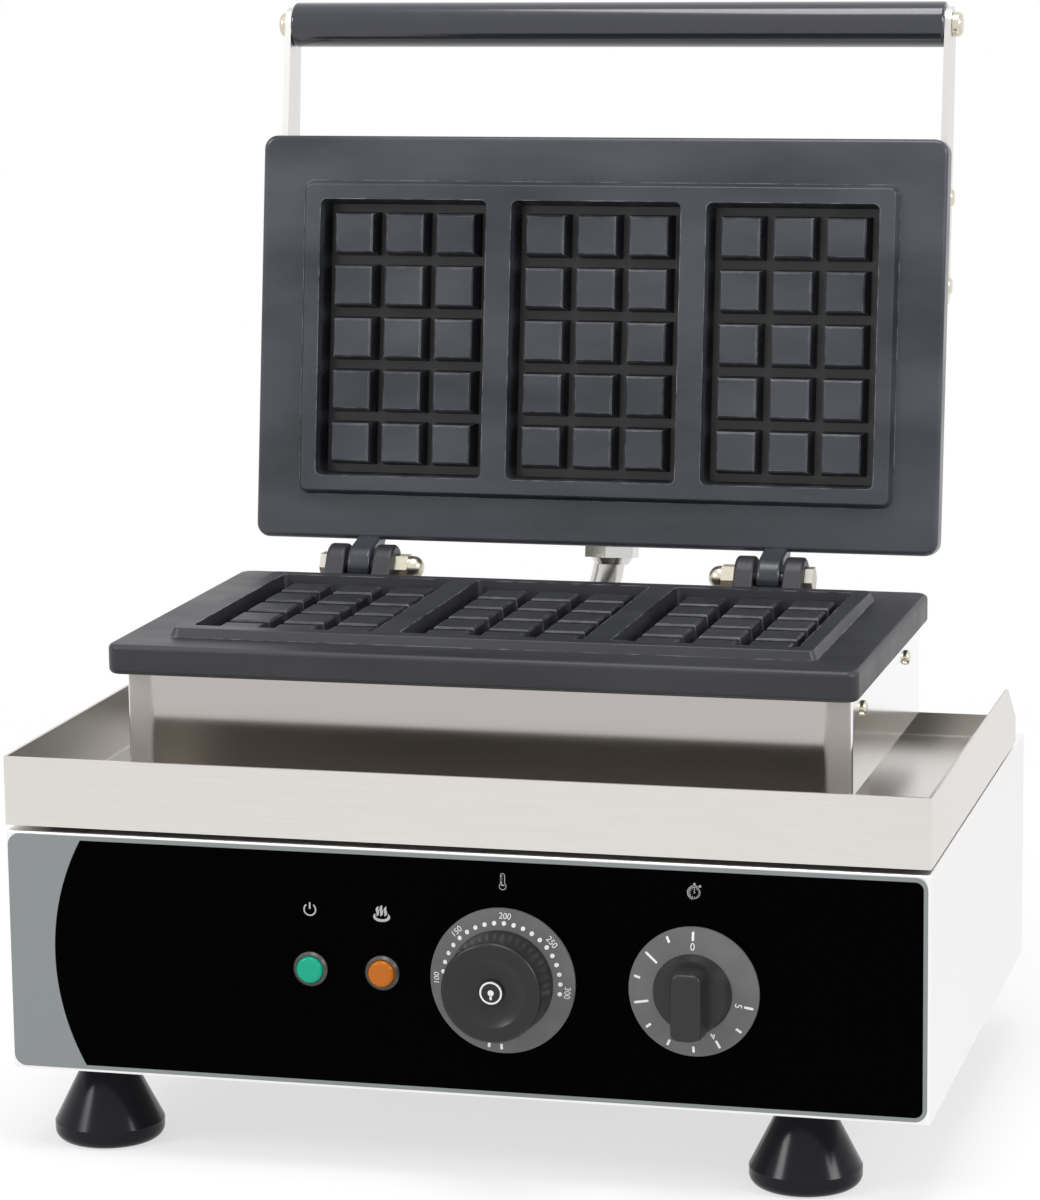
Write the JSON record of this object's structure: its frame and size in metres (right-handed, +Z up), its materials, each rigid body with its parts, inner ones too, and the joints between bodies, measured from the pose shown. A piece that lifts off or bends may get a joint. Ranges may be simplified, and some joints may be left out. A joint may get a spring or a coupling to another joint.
{
  "type": "waffle maker",
  "caption": "Countertop waffle maker with two hinged waffle castings on a steel plinth, a drip tray and a control cabinet on rubber feet.",
  "frame": {"origin": "centre of the bounding box, on the floor under the feet, lid open", "axes": "+X to the machine's right seen from its front, +Y from the control panel to the back, +Z up"},
  "size_m": [0.34, 0.2898, 0.4097],
  "materials": {
    "cabinet_steel": "grained stainless sheet",
    "cover_steel": "satin stainless sheet",
    "tray_steel": "bright rolled stainless sheet",
    "hidden_steel": "zinc-plated sheet steel",
    "screw_steel": "nickel-plated steel",
    "gland_chrome": "polished nickel plate",
    "conduit_steel": "smooth bright steel hose",
    "cast_plate": "dark non-stick enamelled casting",
    "hinge_steel": "nickel-plated bolt",
    "nut_nickel": "nickel-plated domed nut",
    "arm_steel": "satin stainless flat",
    "rod_steel": "turned bright steel",
    "grip_black": "gloss black phenolic",
    "heater_steel": "oxidised heater sheath",
    "wool_white": "mineral wool in foil",
    "overlay_film": "printed polyester film, black and grey",
    "knob_black": "satin black moulding with pale markings",
    "cap_grey": "satin grey moulding",
    "bezel_black": "gloss black moulding",
    "lens_green": "tinted clear moulding",
    "lens_amber": "tinted clear moulding",
    "control_body": "switch body moulding",
    "terminal_plastic": "natural terminal moulding",
    "gland_plastic": "black nylon gland",
    "copper_line": "copper capillary and bulb",
    "foot_rubber": "gloss black moulded rubber",
    "pad_rubber": "black rubber disc"
  },
  "bodies": {
    "base": {"base_housing": "cabinet_steel", "bottom_cover": "hidden_steel", "bottom_cover_screws": "screw_steel", "cabinet_gland": "gland_chrome", "cabinet_gland_nut": "gland_chrome", "cable_gland": "gland_plastic", "cable_gland_nut": "gland_plastic", "casting_screws": "screw_steel", "drip_tray": "tray_steel", "foot_front_left": "foot_rubber", "foot_front_right": "foot_rubber", "foot_rear_left": "foot_rubber", "foot_rear_right": "foot_rubber", "foot_screws": "screw_steel", "front_overlay": "overlay_film", "heat_lamp_bezel": "bezel_black", "heat_lamp_body": "bezel_black", "heat_lamp_lens": "lens_amber", "hinge_bolts": "hinge_steel", "hinge_nuts": "nut_nickel", "lower_clamp_screws": "screw_steel", "lower_clamps": "hidden_steel", "lower_heater": "heater_steel", "lower_plate": "cast_plate", "lower_wool": "wool_white", "plinth": "cover_steel", "plinth_base_screws": "screw_steel", "plinth_rails": "hidden_steel", "plinth_side_screws": "screw_steel", "power_lamp_bezel": "bezel_black", "power_lamp_body": "bezel_black", "power_lamp_lens": "lens_green", "terminal_block": "terminal_plastic", "thermostat_body": "control_body", "thermostat_bulb": "copper_line", "thermostat_capillary": "copper_line", "timer_body": "control_body", "tray_pads": "pad_rubber"},
    "lid": {"conduit": "conduit_steel", "cover_posts": "hidden_steel", "cover_screws": "screw_steel", "handle_arm_left": "arm_steel", "handle_arm_right": "arm_steel", "handle_arm_screws": "screw_steel", "handle_grip": "grip_black", "handle_rod": "rod_steel", "handle_rod_nuts": "nut_nickel", "lid_gland": "gland_chrome", "lid_gland_nut": "gland_chrome", "upper_clamp_screws": "screw_steel", "upper_clamps": "hidden_steel", "upper_cover": "cover_steel", "upper_heater": "heater_steel", "upper_plate": "cast_plate", "upper_wool": "wool_white"},
    "thermostat_dial": {"thermostat_knob": "knob_black", "thermostat_cap": "cap_grey", "thermostat_shaft": "rod_steel"},
    "timer_dial": {"timer_knob": "knob_black", "timer_shaft": "rod_steel"}
  },
  "joints": [
    {"name": "lid_hinge", "type": "hinge", "parent": "base", "child": "lid", "pos_m": [0, 0.07531, 0.1874], "axis": [1, 0, 0], "range_deg": [0, 98], "deforming": ["conduit"]},
    {"name": "temperature_knob_turn", "type": "hinge", "parent": "base", "child": "thermostat_dial", "pos_m": [0.0174, -0.12929, 0.076], "axis": [0, -1, 0], "range_deg": [0, 270]},
    {"name": "timer_knob_turn", "type": "hinge", "parent": "base", "child": "timer_dial", "pos_m": [0.0867, -0.12929, 0.076], "axis": [0, -1, 0], "range_deg": [0, 290]}
  ]
}
